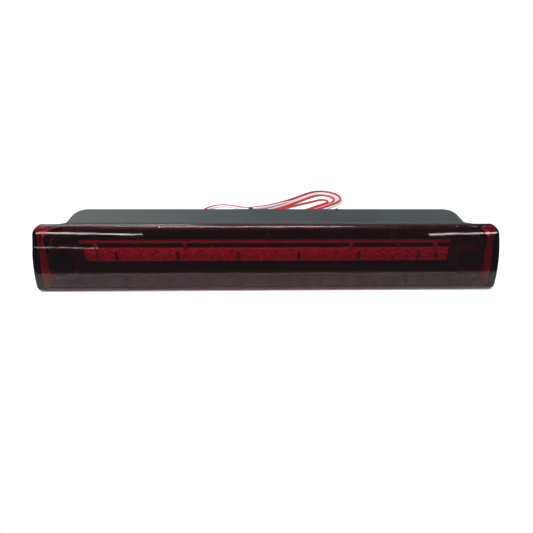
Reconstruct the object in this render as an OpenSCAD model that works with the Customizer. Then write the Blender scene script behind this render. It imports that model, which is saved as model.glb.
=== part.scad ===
// Third brake light: a wraparound red lens cap glued over a stadium-shaped tub that drops into a
// cut-out, with a row of LEDs inside and two bare leads at the back.
// Millimetres. +X to the right, +Y to the back, +Z up. The origin is under the middle of the lamp,
// on the surface it stands on.

/* [Lens] */
// Overall width of the lens
lens_w = 330; // [300:1:360]
// Overall height of the lens
lens_h = 45; // [42:0.5:48]
// How far the lens stands out in front of the panel
lens_d = 20; // [16:0.5:22]
// Wall of the lens
lens_wall = 2.5; // [2:0.1:3]
// Corner radius of the lens seen from the front
lens_corner = 5; // [3:0.5:8]
// Depth of the flat strip along the top of the lens, from the panel to the sloping face
brow_d = 4.5; // [4:0.5:6]

/* [Housing] */
// Width of the tub behind the lens
tub_w = 315; // [290:1:318]
// Depth of the tub behind the panel
tub_d = 34; // [28:1:40]
// Wall of the tub
tub_wall = 2.2; // [1.8:0.1:3]
// Gap between tub and lens, filled with sealant
glue_gap = 0.5; // [0.3:0.1:0.8]
// Outer radius of the round bolt towers at both ends
tower_r = 11.3; // [10:0.1:11.3]

/* [Fixing] */
// Distance between the two mounting studs
stud_span = 291; // [289:1:292]
// Thread diameter of the studs
stud_dia = 5; // [4:1:6]
// How far the studs stand out behind the tub
stud_out = 18; // [14:1:30]
// Height of the studs and towers over the foot of the lens
stud_z = 19; // [18:0.5:22]

/* [Light board] */
// Number of LEDs in the row
led_count = 24; // [12:4:24]
// Distance from one LED to the next
led_pitch = 11.1; // [9.5:0.1:11.2]
// Length of the board
board_w = 267.3; // [240:0.1:267.6]
// Height of the board
board_h = 10.4; // [10:0.1:12]
// Height of the board's middle line
board_z = 20.4; // [20:0.1:23]

/* [Leads] */
// Outer diameter of one lead
lead_dia = 2.2; // [1.2:0.1:2.2]
// Distance between the centres of the two ends of the hank
hank_len = 83; // [60:1:100]
// Outer radius of the hank's ends
hank_r = 21.2; // [20:0.1:24]
// Width of the band of strands in the hank
hank_band = 12.5; // [9:0.5:13]
// Height of the hank
hank_h = 4.5; // [3.4:0.1:5]

/* [Hidden] */
$fn = 48;
eps = 0.01;

// Planes across the depth, front to back
panel_y = (lens_d - tub_d - stud_out) / 2;
mouth_y = panel_y - 3;
back_y = panel_y + tub_d;
floor_y = back_y - tub_wall;
board_y = panel_y - 1;
carrier_y = panel_y + 0.6;
tower_front_y = panel_y - 17;
tower_floor_y = back_y - 6;

// Lens face: one arc that starts upright at the top of the foot's round and leans back to the brow
foot_r = 4;
face_rise = lens_d - brow_d;
face_drop = lens_h - foot_r;
face_r = (face_rise * face_rise + face_drop * face_drop) / (2 * face_rise);
face_steps = 20;
foot_steps = 6;

// Tub outline
mid_z = lens_h / 2;
tub_h = lens_h - 2 * (lens_wall + glue_gap);
back_wall = 2.5;
gasket_w = 2.5;
gasket_gap = 0.4;
gasket_t = 2.5;
gasket_l = lens_w - 2;

// Bolt towers
tower_wall = 2;
tower_lean = 14;
// Small moulding stub on the tub's top rear edge
stub_x = 54;
stub_r = 1.8;
stub_rise = 0.7;
stub_l = 1.5;
stud_bore = stud_dia + 0.2;
pad_r = 8;
pad_t = 0.6;

// Fasteners on the studs. The stud is drawn thinner from its head to the nut's outer face, where the
// thread bites, and at its full size on the free end.
neck_r = stud_dia / 2 - 0.25;
head_af = 8;
head_t = 3.6;
o_ring_t = 2;
washer_dia = 10;
washer_t = 1;
spring_t = 1.3;
nut_t = 4;

// Carrier, board and what is on it
board_t = 1.6;
plate_t = 2;
plate_h = board_h - 0.8;
board_x = -0.35;
rail_z = board_z + board_h / 2 + 4;
rail_h = 2;
rail_d = 2.4;
rail_w = 269;
rail_x = -1.8;
clip_x = [-125, -61, 60, 123];
clip_w = 1.6;
leg_x = [-100, 0, 100];
leg_r = 3;
screw_r = 1.45;
screw_head_r = 2.9;
screw_in = 10;
led_r = 3.8;
led_flange_r = 4.4;
led_flange_t = 1.2;
group = 4;
resistor_r = 0.9;
resistor_l = 6.4;
resistor_shift = -0.15;
window_x = [-56, -22];
window_h = 7.2;
diode_size = [4.4, 1.8, 2.6];
diode_x = -30;
pad_gap = 5;

// Wire outlet and breather
outlet_x = -45;
outlet_z = 11;
outlet_r = 4.5;
nose_l = 12;
breather_x = 45;
breather_r = 2;

// The pair's route from the outlet to the hank: the middle between the two leads, and half the
// distance between their centres
pair_gap = lead_dia + 0.1;
near_gap = pair_gap / 2;
table_z = lead_dia / 2 + 0.05;
pair_route = [
    [-45, 30, 11, near_gap], [-45, 37, 10.2, near_gap], [-45.5, 45, 6.8, near_gap],
    [-47, 53, 3, near_gap], [-49.5, 62, 1.2, near_gap], [-55, 81, table_z, 1.2], [-59.8, 100, table_z, 1.4],
    [-58, 112, table_z, 1.5], [-51, 120.2, table_z, 1.5], [-41, 123.3, table_z, 1.5],
    [-30.5, 120.8, table_z, 1.5], [-21, 116.4, 1.3, 1.5], [-14.5, 113.6, 2.3, 1.5],
    [-7.5, 112.8, 3.4, 1.5], [1, 115, 3.45, 1.5], [12.4, 121.5, 3.3, 1.5]
];
route_steps = 2;
// The hank's middle on the table and the turn of its long axis
hank_mid = [30, 115];
hank_turn = 38.5;
// Stretches that leave the band of strands: distance along and across the hank's axis, and height.
// The red lead's last turn crosses the middle, and each lead ends in a short bare tail.
red_inside = [
    [-24, 8.7, table_z], [-8, 7.1, table_z], [7.8, 5.2, table_z], [25, 2.7, table_z], [33, 1.6, table_z],
    [38, 0.7, table_z], [41.6, -1.6, table_z], [42.9, -5, table_z], [41.2, -8, table_z], [37.6, -9.4, table_z],
    [28, -9.4, table_z]
];
red_tail = [[-6, -9.4, table_z], [-14, -8.6, table_z], [-21, -6.2, table_z], [-28, -2.6, table_z]];
white_tail = [[6, -20.2, table_z], [-6, -21.6, table_z], [-16, -24, table_z], [-26, -27.5, table_z]];
tip_l = 6;
tip_r = 0.5;
// Ties round the strands: distance along and across the hank's axis, and outer width
tie_spots = [[-39, 15, 14.4], [-8, -15.6, 16.6]];
tie_w = 3;
tie_t = 1;

// ---- shared shapes ----

// A flat outline in X and Z, thickened from y0 to y1
module along_y(y0, y1) {
    translate([0, y1, 0]) rotate([90, 0, 0]) linear_extrude(y1 - y0) children();
}

// A flat outline in Y and Z, thickened from x0 to x1
module along_x(x0, x1) {
    translate([x0, 0, 0]) rotate([90, 0, 90]) linear_extrude(x1 - x0) children();
}

// A round bar along Y
module bar_y(x, z, r, y0, y1) {
    translate([x, y1, z]) rotate([90, 0, 0]) cylinder(r = r, h = y1 - y0);
}

module stadium(w, h) {
    square([w - h, h], center = true);
    for (s = [-1, 1]) translate([s * (w - h) / 2, 0]) circle(d = h);
}

module round_rect(w, h, r) {
    square([w - 2 * r, h], center = true);
    square([w, h - 2 * r], center = true);
    for (sx = [-1, 1], sz = [-1, 1]) translate([sx * (w / 2 - r), sz * (h / 2 - r)]) circle(r = r);
}

// Both sides of the lamp, mirrored about its middle
module both_ends() {
    for (s = [-1, 1]) translate([s * stud_span / 2, 0, 0]) children();
}

// The tub's outline grown by g, at the lamp's middle height
module tub_outline(g) {
    translate([0, mid_z]) stadium(tub_w + 2 * g, tub_h + 2 * g);
}

// Smooth route through hand-set points, and an eight-sided tube swept along it
function curve_at(a, b, c, d, t) =
    0.5 * (2 * b + (c - a) * t + (2 * a - 5 * b + 4 * c - d) * t * t + (3 * b - a - 3 * c + d) * t * t * t);
function smooth(p, n) = concat(
    [for (i = [0 : len(p) - 2], k = [0 : n - 1])
        curve_at(p[max(i - 1, 0)], p[i], p[i + 1], p[min(i + 2, len(p) - 1)], k / n)],
    [p[len(p) - 1]]);
function heading(p, i) =
    let (v = p[min(i + 1, len(p) - 1)] - p[max(i - 1, 0)]) v / norm(v);
function beside(p, i) = let (v = cross(heading(p, i), [0, 0, 1])) v / norm(v);
function flat(p) = [for (q = p) [q.x, q.y, q.z]];
// side is -1 for the lead on the left of the route and 1 for the one on its right
function offset_route(p, side) =
    let (m = flat(p)) [for (i = [0 : len(p) - 1]) m[i] + side * p[i][3] * beside(m, i)];
function on_hank(p) = [for (q = p) [
    hank_mid.x + q.x * cos(hank_turn) - q.y * sin(hank_turn),
    hank_mid.y + q.x * sin(hank_turn) + q.y * cos(hank_turn), q.z]];

module tube(p, r) {
    sides = 8;
    rings = len(p);
    points = [for (i = [0 : rings - 1], k = [0 : sides - 1])
        let (a = 360 * (k + 0.5) / sides, u = beside(p, i), w = cross(u, heading(p, i)))
        p[i] + r * (cos(a) * u + sin(a) * w)];
    walls = [for (i = [0 : rings - 2], k = [0 : sides - 1])
        let (n = (k + 1) % sides)
        [i * sides + k, (i + 1) * sides + k, (i + 1) * sides + n, i * sides + n]];
    start = [[for (k = [0 : sides - 1]) k]];
    end = [[for (k = [sides - 1 : -1 : 0]) (rings - 1) * sides + k]];
    polyhedron(points, concat(walls, start, end), convexity = 4);
}

// ---- lens and housing ----

// Side outline of the lens, drawn in by t from the outside
function lens_side(t) = concat(
    [[panel_y + (t > 0 ? eps : 0), t]],
    [for (i = [0 : foot_steps]) let (a = 270 - 90 * i / foot_steps)
        [panel_y - lens_d + foot_r + (foot_r - t) * cos(a), foot_r + (foot_r - t) * sin(a)]],
    let (top = asin((lens_h - t - foot_r) / (face_r - t)))
    [for (i = [1 : face_steps]) let (a = top * i / face_steps)
        [panel_y - lens_d + face_r - (face_r - t) * cos(a), foot_r + (face_r - t) * sin(a)]],
    [[panel_y + (t > 0 ? eps : 0), lens_h - t]]);

module lens_body(t) {
    intersection() {
        along_x(-lens_w / 2 + t, lens_w / 2 - t) polygon(lens_side(t));
        along_y(panel_y - lens_d - 1, panel_y + 1)
            translate([0, mid_z]) round_rect(lens_w - 2 * t, lens_h - 2 * t, lens_corner - t / 2);
    }
}

// Back wall of the lens: it closes the corners and ends round the tub, and the tub is glued into it
module lens_back() {
    intersection() {
        lens_body(lens_wall - eps);
        along_y(panel_y - back_wall, panel_y) difference() {
            translate([0, mid_z]) square([lens_w, lens_h], center = true);
            tub_outline(glue_gap);
        }
    }
}

module lens() {
    color([0.45, 0.02, 0.04, 0.6]) {
        difference() {
            lens_body(0);
            lens_body(lens_wall);
        }
        lens_back();
    }
}

module tower_solid(r, y0, y1) {
    both_ends() bar_y(0, stud_z, r, y0, y1);
}

// Cuts the towers' fronts back to a plane that leans with the lens face
module tower_trim() {
    translate([0, tower_front_y, 0]) rotate([-tower_lean, 0, 0])
        translate([-lens_w / 2, -lens_d, -lens_h]) cube([lens_w, lens_d, 3 * lens_h]);
}

module housing() {
    color([0.2, 0.22, 0.23]) difference() {
        union() {
            difference() {
                along_y(mouth_y, back_y) tub_outline(0);
                along_y(mouth_y - 1, floor_y) tub_outline(-tub_wall);
            }
            difference() {
                tower_solid(tower_r, tower_front_y - 8, floor_y + eps);
                tower_trim();
            }
            both_ends() bar_y(0, stud_z, pad_r, back_y - eps, back_y + pad_t);
            bar_y(stub_x, mid_z + tub_h / 2 + stub_rise - stub_r, stub_r, back_y - stub_l, back_y);
        }
        tower_solid(tower_r - tower_wall, tower_front_y - 9, tower_floor_y);
        tower_solid(stud_bore / 2, tower_floor_y - 1, back_y + pad_t + 1);
        for (x = leg_x) bar_y(x, board_z, screw_r + 0.15, floor_y - 1, back_y + 1);
        bar_y(outlet_x, outlet_z, outlet_r, floor_y - 1, back_y + 1);
        bar_y(breather_x, outlet_z, breather_r, floor_y - 1, back_y + 1);
    }
}

module ring_outline(inner, outer) {
    difference() {
        tub_outline(outer);
        tub_outline(inner);
    }
}

module lens_sealant() {
    color([0.12, 0.12, 0.12]) along_y(mouth_y, panel_y) ring_outline(0, glue_gap);
}

module mounting_gasket() {
    color([0.08, 0.08, 0.08]) along_y(panel_y, panel_y + gasket_t) difference() {
        translate([0, mid_z]) stadium(gasket_l, tub_h + 2 * (gasket_gap + gasket_w));
        tub_outline(gasket_gap);
    }
}

// ---- light board ----

module board_carrier() {
    plate_back = carrier_y + plate_t;
    low_z = board_z - board_h / 2;
    color([0.92, 0.92, 0.9]) difference() {
        union() {
            translate([board_x - board_w / 2, carrier_y, low_z]) cube([board_w, plate_t, plate_h]);
            translate([rail_x - rail_w / 2, board_y, rail_z]) cube([rail_w, rail_d, rail_h]);
            for (x = clip_x) {
                translate([x - clip_w / 2, carrier_y, low_z + plate_h - 1])
                    cube([clip_w, plate_t, rail_z - low_z - plate_h + 2]);
                translate([x - clip_w / 2, board_y - 1.2, low_z + board_h])
                    cube([clip_w, plate_back - board_y + 1.2, rail_z - low_z - board_h + 1]);
                translate([x - clip_w / 2, board_y - 1.2, low_z + board_h - 1])
                    cube([clip_w, 1.2, 2]);
            }
            for (x = leg_x) bar_y(x, board_z, leg_r, carrier_y + plate_t / 2, floor_y);
        }
        for (x = leg_x) bar_y(x, board_z, screw_r - 0.35, floor_y - screw_in - 2, floor_y + 1);
        translate([window_x[0], carrier_y - 1, low_z + (plate_h - window_h) / 2])
            cube([window_x[1] - window_x[0], plate_t + 2, window_h]);
    }
}

module circuit_board() {
    color([0.9, 0.9, 0.86]) translate([board_x - board_w / 2, board_y, board_z - board_h / 2])
        cube([board_w, board_t, board_h]);
}

function led_x(i) = (i - (led_count - 1) / 2) * led_pitch;

module leds() {
    color([0.95, 0.45, 0.4]) for (i = [0 : led_count - 1]) translate([led_x(i), board_y, board_z])
        rotate([90, 0, 0]) {
            cylinder(r = led_flange_r, h = led_flange_t);
            cylinder(r = led_r, h = led_flange_t + 1);
            translate([0, 0, led_flange_t + 1]) sphere(r = led_r);
        }
}

module resistors() {
    color([0.08, 0.08, 0.08]) for (g = [0 : led_count / group - 1]) {
        x = (led_x(g * group + 1) + led_x(g * group + 2)) / 2 + resistor_shift;
        translate([x, board_y - resistor_r, board_z]) {
            cylinder(r = resistor_r, h = resistor_l, center = true);
            cylinder(r = 0.3, h = resistor_l + 1.2, center = true);
        }
        for (s = [-1, 1]) bar_y(x, board_z + s * (resistor_l / 2 + 0.6), 0.3, board_y - resistor_r, board_y);
    }
}

module diode() {
    color([0.06, 0.06, 0.06])
        translate([diode_x - diode_size.x / 2, board_y + board_t, board_z - diode_size.z / 2])
        cube(diode_size);
}

module solder_joints() {
    color([0.75, 0.76, 0.78]) for (s = [-1, 1])
        translate([outlet_x + s * pad_gap / 2, board_y + board_t, board_z]) rotate([-90, 0, 0])
        cylinder(r1 = 1.5, r2 = 0.9, h = 1.2);
}

module inner_lead(s) {
    y0 = board_y + board_t + 1.2;
    y1 = floor_y - 1.6;
    x1 = outlet_x + s * pair_gap / 2;
    x0 = outlet_x + s * pad_gap / 2;
    tube(smooth([[x0, y0, board_z], [x0, y0 + 5, board_z - 0.5], [(x0 + x1) / 2, (y0 + y1) / 2, 16],
        [x1, y1 - 5, outlet_z + 0.5], [x1, y1, outlet_z]], 2), lead_dia / 2);
}

module inner_red_lead() {
    color([0.75, 0.06, 0.08]) inner_lead(-1);
}

module inner_white_lead() {
    color([0.93, 0.92, 0.9]) inner_lead(1);
}

module carrier_screws() {
    color([0.6, 0.61, 0.63]) for (x = leg_x) {
        bar_y(x, board_z, screw_r, floor_y - screw_in, back_y + eps);
        bar_y(x, board_z, screw_head_r, back_y, back_y + 2);
    }
}

// ---- fixing ----

module mounting_studs() {
    color([0.7, 0.71, 0.72]) both_ends() {
        translate([0, tower_floor_y, stud_z]) rotate([90, 0, 0])
            cylinder(d = head_af / cos(30), h = head_t, $fn = 6);
        bar_y(0, stud_z, neck_r, tower_floor_y - eps, nut_y + nut_t + eps);
        bar_y(0, stud_z, stud_dia / 2, nut_y + nut_t, back_y + stud_out - 0.8);
        translate([0, back_y + stud_out - 0.8, stud_z]) rotate([-90, 0, 0])
            cylinder(r1 = stud_dia / 2, r2 = stud_dia / 2 - 0.8, h = 0.8);
    }
}

pack_y = back_y + pad_t;
spring_y = pack_y + o_ring_t + washer_t;
nut_y = spring_y + spring_t;

// A flat ring on each stud from y to y + t
module stud_rings(dia, y, t) {
    both_ends() difference() {
        bar_y(0, stud_z, dia / 2, y, y + t);
        bar_y(0, stud_z, stud_bore / 2, y - 1, y + t + 1);
    }
}

module stud_o_rings() {
    color([0.1, 0.1, 0.1]) both_ends() translate([0, pack_y + o_ring_t / 2, stud_z])
        rotate([90, 0, 0]) rotate_extrude() translate([stud_bore / 2 + o_ring_t / 2, 0])
        circle(d = o_ring_t);
}

module flat_washers() {
    color([0.75, 0.76, 0.77]) stud_rings(washer_dia, pack_y + o_ring_t, washer_t);
}

module spring_washers() {
    color([0.55, 0.56, 0.58]) difference() {
        stud_rings(washer_dia - 0.8, spring_y, spring_t);
        both_ends() translate([-0.5, spring_y - 1, stud_z]) rotate([0, 12, 0])
            cube([1, spring_t + 2, washer_dia]);
    }
}

module stud_nuts() {
    color([0.7, 0.71, 0.72]) both_ends() difference() {
        translate([0, nut_y + nut_t, stud_z]) rotate([90, 0, 0])
            cylinder(d = head_af / cos(30), h = nut_t, $fn = 6);
        bar_y(0, stud_z, neck_r + 0.05, nut_y - 1, nut_y + nut_t + 1);
    }
}

module breather_plug() {
    color([0.1, 0.1, 0.1]) {
        bar_y(breather_x, outlet_z, breather_r, floor_y - 2, back_y + eps);
        bar_y(breather_x, outlet_z, breather_r * 2, back_y, back_y + 1.8);
    }
}

module wire_grommet() {
    color([0.09, 0.09, 0.09]) {
        bar_y(outlet_x, outlet_z, outlet_r + 1, floor_y - 1.6, floor_y);
        bar_y(outlet_x, outlet_z, outlet_r, floor_y - eps, back_y + eps);
        bar_y(outlet_x, outlet_z, outlet_r + 2, back_y, back_y + 1.6);
        translate([outlet_x, back_y + 1.5, outlet_z]) rotate([-90, 0, 0])
            cylinder(r1 = outlet_r, r2 = 2.6, h = nose_l - 1.5);
    }
}

// ---- leads ----

module red_wire() {
    color([0.75, 0.06, 0.08]) {
        tube(offset_route(smooth(pair_route, route_steps), -1), lead_dia / 2);
        tube(on_hank(red_inside), lead_dia / 2);
        tube(on_hank(red_tail), lead_dia / 2);
    }
}

module white_wire() {
    color([0.93, 0.92, 0.9]) {
        tube(offset_route(smooth(pair_route, route_steps), 1), lead_dia / 2);
        tube(on_hank(white_tail), lead_dia / 2);
    }
}

// The hank is a long loop: a band of strands with round ends, flat on the table
module wire_hank() {
    inner_r = hank_r - hank_band;
    color([0.8, 0.2, 0.2]) translate(hank_mid) rotate([0, 0, hank_turn]) linear_extrude(hank_h)
        difference() {
            stadium(hank_len + 2 * hank_r, 2 * hank_r);
            stadium(hank_len + 2 * inner_r, 2 * inner_r);
        }
}

module tie(span) {
    difference() {
        translate([-tie_w / 2, -span / 2, 0]) cube([tie_w, span, hank_h + 2 * tie_t]);
        translate([-tie_w, -span / 2 + tie_t, tie_t]) cube([2 * tie_w, span - 2 * tie_t, hank_h]);
    }
}

module hank_ties() {
    color([0.07, 0.07, 0.07]) translate(hank_mid) rotate([0, 0, hank_turn])
        for (s = tie_spots) translate([s.x, s.y, 0]) tie(s.z);
}

module tip(p) {
    last = p[len(p) - 1];
    way = heading(p, len(p) - 1);
    tube([for (k = [0 : 2]) last + way * tip_l * k / 2], tip_r);
}

module wire_tips() {
    color([0.8, 0.7, 0.6]) {
        tip(on_hank(red_tail));
        tip(on_hank(white_tail));
    }
}

lens();
housing();
lens_sealant();
mounting_gasket();
board_carrier();
circuit_board();
leds();
resistors();
diode();
solder_joints();
inner_red_lead();
inner_white_lead();
carrier_screws();
mounting_studs();
stud_o_rings();
flat_washers();
spring_washers();
stud_nuts();
breather_plug();
wire_grommet();
red_wire();
white_wire();
wire_hank();
hank_ties();
wire_tips();
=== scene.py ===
"""Looks of the third brake light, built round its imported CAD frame. Metres, +Z up, +Y to the back."""

import math

import bmesh
import bpy
from mathutils import Matrix, Vector, noise


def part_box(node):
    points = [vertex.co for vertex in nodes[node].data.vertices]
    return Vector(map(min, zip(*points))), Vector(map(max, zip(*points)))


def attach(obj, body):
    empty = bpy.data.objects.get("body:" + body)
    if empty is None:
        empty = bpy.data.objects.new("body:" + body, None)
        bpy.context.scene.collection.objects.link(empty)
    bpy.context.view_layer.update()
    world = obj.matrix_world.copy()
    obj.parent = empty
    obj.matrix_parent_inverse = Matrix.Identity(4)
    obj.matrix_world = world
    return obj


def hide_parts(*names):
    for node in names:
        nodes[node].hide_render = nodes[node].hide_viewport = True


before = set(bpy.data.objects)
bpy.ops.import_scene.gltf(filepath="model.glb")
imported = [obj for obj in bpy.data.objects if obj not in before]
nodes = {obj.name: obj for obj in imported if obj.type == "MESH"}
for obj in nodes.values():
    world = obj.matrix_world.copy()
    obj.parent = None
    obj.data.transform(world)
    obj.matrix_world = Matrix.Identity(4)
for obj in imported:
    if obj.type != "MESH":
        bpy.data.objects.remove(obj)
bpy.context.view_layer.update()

MM = 0.001
TAU = 2 * math.pi
BODY = "root"


# ---- camera, at the photograph's angle ----

CAMERA_AT = (-13.47 * MM, -321.26 * MM, 184.2 * MM)
CAMERA_LENS = 31.64
CAMERA_SENSOR = 36
CAMERA_PITCH = math.radians(29.76)
CAMERA_YAW = math.radians(2.24)
CAMERA_ROLL = math.radians(0.88)


def make_camera():
    """The camera that looks ahead along its pitch and yaw, rolled a little about that line."""
    ahead = Vector((math.sin(CAMERA_YAW) * math.cos(CAMERA_PITCH),
                    math.cos(CAMERA_YAW) * math.cos(CAMERA_PITCH), -math.sin(CAMERA_PITCH)))
    right = ahead.cross(Vector((0, 0, 1))).normalized()
    up = right.cross(ahead)
    x = right * math.cos(CAMERA_ROLL) + up * math.sin(CAMERA_ROLL)
    y = up * math.cos(CAMERA_ROLL) - right * math.sin(CAMERA_ROLL)
    data = bpy.data.cameras.new("camera")
    data.lens = CAMERA_LENS
    data.sensor_width = CAMERA_SENSOR
    data.clip_start, data.clip_end = 0.01, 100
    camera = bpy.data.objects.new("camera", data)
    bpy.context.scene.collection.objects.link(camera)
    camera.matrix_world = Matrix.Translation(CAMERA_AT) @ Matrix((x, y, -ahead)).transposed().to_4x4()
    bpy.context.scene.camera = camera


make_camera()


# ---- materials ----

# Most of a noise texture's values lie between these two
NOISE_LOW, NOISE_HIGH = 0.3, 0.7


def set_inputs(node, values):
    """Set a node's sockets by name. A colour of three numbers gets its fourth here."""
    for name, value in values.items():
        socket = node.inputs[name]
        socket.default_value = (*value, 1) if isinstance(value, tuple) and len(value) == 3 else value


def noise_node(tree, coordinates, scale, detail=3.0, stretch=(1, 1, 1)):
    """Noise of a scale in features per metre."""
    mapping = tree.nodes.new("ShaderNodeMapping")
    mapping.inputs["Scale"].default_value = stretch
    texture = tree.nodes.new("ShaderNodeTexNoise")
    set_inputs(texture, {"Scale": scale, "Detail": detail})
    tree.links.new(coordinates, mapping.inputs["Vector"])
    tree.links.new(mapping.outputs["Vector"], texture.inputs["Vector"])
    return texture.outputs["Fac"]


def ramp_node(tree, factor, first, last):
    """A colour between first and last, from a noise factor."""
    ramp = tree.nodes.new("ShaderNodeValToRGB")
    for stop, place, colour in zip(ramp.color_ramp.elements, (NOISE_LOW, NOISE_HIGH), (first, last)):
        stop.position = place
        stop.color = (*colour, 1)
    tree.links.new(factor, ramp.inputs["Fac"])
    return ramp.outputs["Color"]


def range_node(tree, factor, low, high):
    """A number between low and high, from a noise factor."""
    spread = tree.nodes.new("ShaderNodeMapRange")
    set_inputs(spread, {"From Min": NOISE_LOW, "From Max": NOISE_HIGH, "To Min": low, "To Max": high})
    tree.links.new(factor, spread.inputs["Value"])
    return spread.outputs["Result"]


def surface(name, first, last, patch=60.0, rough=(0.4, 0.5), grain=None, stretch=(1, 1, 1), **sockets):
    """A plastic, rubber or metal. Its colour drifts from first to last in patches, and its roughness
    drifts with it between the two values of rough. grain is a bump of (scale, depth in metres)."""
    material = bpy.data.materials.new(name)
    material.use_nodes = True
    tree = material.node_tree
    shader = tree.nodes["Principled BSDF"]
    set_inputs(shader, sockets)
    place = tree.nodes.new("ShaderNodeTexCoord").outputs["Object"]
    drift = noise_node(tree, place, patch, 4.0, stretch)
    tree.links.new(ramp_node(tree, drift, first, last), shader.inputs["Base Color"])
    tree.links.new(range_node(tree, drift, *rough), shader.inputs["Roughness"])
    if grain:
        bump = tree.nodes.new("ShaderNodeBump")
        set_inputs(bump, {"Strength": 1.0, "Distance": grain[1]})
        tree.links.new(noise_node(tree, place, grain[0], 2.0, stretch), bump.inputs["Height"])
        tree.links.new(bump.outputs["Normal"], shader.inputs["Normal"])
    return material


def clear_plastic(name, tint, ior, lost=None):
    """Clear plastic. Rays from lamps pass straight through it, so they reach what is inside.
    lost is how much red, green and blue it soaks up per millimetre, so thick places look darker."""
    material = bpy.data.materials.new(name)
    material.use_nodes = True
    tree = material.node_tree
    shader = tree.nodes["Principled BSDF"]
    set_inputs(shader, {"Base Color": tint, "Transmission Weight": 1.0, "IOR": ior})
    place = tree.nodes.new("ShaderNodeTexCoord").outputs["Object"]
    gloss = range_node(tree, noise_node(tree, place, 90), 0.015, 0.05)
    tree.links.new(gloss, shader.inputs["Roughness"])
    passed = tree.nodes.new("ShaderNodeBsdfTransparent")
    set_inputs(passed, {"Color": tuple(0.95 * c for c in tint)})
    mix = tree.nodes.new("ShaderNodeMixShader")
    tree.links.new(tree.nodes.new("ShaderNodeLightPath").outputs["Is Shadow Ray"], mix.inputs["Fac"])
    tree.links.new(shader.outputs["BSDF"], mix.inputs[1])
    tree.links.new(passed.outputs["BSDF"], mix.inputs[2])
    tree.links.new(mix.outputs["Shader"], tree.nodes["Material Output"].inputs["Surface"])
    if lost:
        most = max(lost)
        soaked = tree.nodes.new("ShaderNodeVolumeAbsorption")
        set_inputs(soaked, {"Color": tuple(1 - c / most for c in lost), "Density": most / MM})
        tree.links.new(soaked.outputs["Volume"], tree.nodes["Material Output"].inputs["Volume"])
    return material


def grey(value):
    return (value, value, value)


LENS_RED = clear_plastic("lens_red_clear", (1.0, 0.97, 0.97), 1.37, (0.37, 1.3, 0.95))
LED_CLEAR = clear_plastic("led_clear", (0.93, 0.9, 0.9), 1.45)
TUB_BLACK = surface("tub_grained_black", (0.023, 0.032, 0.032), (0.031, 0.041, 0.041), 35,
                    (0.5, 0.62), (1700, 0.00006), **{"Specular IOR Level": 0.3})
SEALANT = surface("sealant_black", grey(0.018), grey(0.03), 300, (0.3, 0.45), (500, 0.0001))
FOAM = surface("foam_black", grey(0.02), grey(0.045), 1500, (0.85, 0.95), (2500, 0.00012))
CARRIER_WHITE = surface("carrier_white", (0.56, 0.55, 0.53), (0.62, 0.61, 0.59), 60,
                        (0.4, 0.5), (900, 0.00002))
BOARD_WHITE = surface("board_white_mask", (0.78, 0.77, 0.72), (0.84, 0.83, 0.8), 250,
                      (0.25, 0.35), (1500, 0.00001))
CHIP_BLACK = surface("chip_black", (0.015, 0.015, 0.016), (0.03, 0.03, 0.032), 900,
                     (0.35, 0.5), (3000, 0.00001))
SOLDER = surface("solder_bright", (0.62, 0.62, 0.64), (0.74, 0.74, 0.76), 800, (0.2, 0.35), (900, 0.00005),
                 Metallic=1.0)
ZINC = surface("zinc_plate", (0.58, 0.59, 0.6), (0.72, 0.72, 0.71), 220, (0.24, 0.4), (1400, 0.00001),
               Metallic=1.0)
SPRING_STEEL = surface("spring_steel", (0.3, 0.3, 0.31), (0.42, 0.42, 0.43), 300, (0.35, 0.5),
                       (1200, 0.00002), Metallic=1.0)
RUBBER = surface("rubber_black", (0.016, 0.016, 0.017), (0.03, 0.03, 0.031), 200,
                 (0.6, 0.75), (1800, 0.00003))
NYLON = surface("nylon_black", (0.014, 0.014, 0.015), (0.026, 0.026, 0.027), 150,
                (0.35, 0.45), (900, 0.00001))
PVC_RED = surface("pvc_red", (0.36, 0.014, 0.026), (0.44, 0.024, 0.036), 120, (0.32, 0.42), (700, 0.00001))
PVC_WHITE = surface("pvc_white", (0.5, 0.47, 0.46), (0.58, 0.55, 0.54), 120, (0.32, 0.42), (700, 0.00001))
COPPER = surface("tinned_copper", (0.62, 0.56, 0.5), (0.72, 0.7, 0.68), 900, (0.25, 0.4), Metallic=1.0)


# ---- making pieces ----

def finish_piece(piece, material, replaced=()):
    """Give a piece its material and body, and hide the CAD nodes that it takes the place of."""
    piece.data.materials.append(material)
    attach(piece, BODY)
    if replaced:
        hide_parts(*replaced)
    return piece


def mesh_piece(name, mesh, material, replaced=(), sharp=math.radians(32)):
    """mesh is a bmesh in metres, and sharp is the angle past which an edge isn't smoothed."""
    bmesh.ops.recalc_face_normals(mesh, faces=mesh.faces)
    data = bpy.data.meshes.new(name)
    mesh.to_mesh(data)
    mesh.free()
    data.shade_smooth()
    data.set_sharp_from_angle(angle=sharp)
    piece = bpy.data.objects.new(name, data)
    bpy.context.scene.collection.objects.link(piece)
    return finish_piece(piece, material, replaced)


def skin(mesh, rings, closed=False):
    """Quads between neighbouring rings of equally many vertices. closed joins the last to the first."""
    pairs = list(zip(rings, rings[1:])) + ([(rings[-1], rings[0])] if closed else [])
    for one, two in pairs:
        for i in range(len(one)):
            j = (i + 1) % len(one)
            mesh.faces.new((one[i], one[j], two[j], two[i]))


def loft(mesh, rings, closed=False):
    """A solid through rings of points, with flat ends, or with its last ring joined to its first."""
    made = [[mesh.verts.new(p) for p in ring] for ring in rings]
    skin(mesh, made, closed)
    if not closed:
        mesh.faces.new(made[0])
        mesh.faces.new(made[-1])


def circle_y(x, z, radius, y, count=32):
    """A ring of points round an axis along Y. y may depend on the height: pass a function of z."""
    points = []
    for k in range(count):
        a = TAU * k / count
        at = z + radius * math.sin(a)
        points.append((x + radius * math.cos(a), y(at) if callable(y) else y, at))
    return points


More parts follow.
